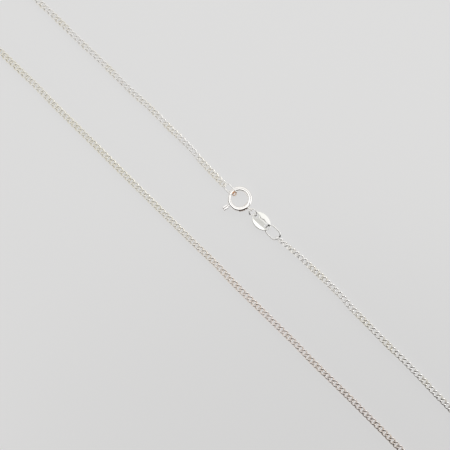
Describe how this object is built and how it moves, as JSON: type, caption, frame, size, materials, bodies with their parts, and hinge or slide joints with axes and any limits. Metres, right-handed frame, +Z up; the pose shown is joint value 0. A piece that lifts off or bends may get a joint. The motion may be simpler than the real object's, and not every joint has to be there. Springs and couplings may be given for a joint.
{
  "type": "curb chain necklace",
  "caption": "Fine silver curb chain necklace lying flat in a long closed loop, with a spring ring clasp, jump rings and an oval tag.",
  "frame": {"origin": "centre of the loop on the surface that it lies on, midway between its ends and its sides", "axes": "+X along the two strands, from the clasp ring towards the tag; +Y across them, towards the strand with the clasp; +Z up from the surface"},
  "size_m": [0.2228, 0.0159, 0.0022],
  "materials": {
    "chain_silver": "polished",
    "clasp_silver": "polished",
    "ring_silver": "polished",
    "tag_silver": "satin"
  },
  "bodies": {
    "necklace": {"chain_left": "chain_silver", "chain_right": "chain_silver", "end_link_left": "chain_silver", "end_link_right": "chain_silver", "jump_ring_left": "ring_silver", "clasp_ring": "clasp_silver", "jump_ring_small": "ring_silver", "tag": "tag_silver", "jump_ring_right": "ring_silver"},
    "bolt": {"clasp_bolt": "clasp_silver"}
  },
  "joints": [
    {"name": "bolt_slide", "type": "hinge", "parent": "necklace", "child": "bolt", "pos_m": [-0.0016, 0.00545, 0.00094], "axis": [0, 0, 1], "range_deg": [0, 38], "stiffness_Nm_per_rad": 0.0024, "springref_deg": -5.73}
  ]
}
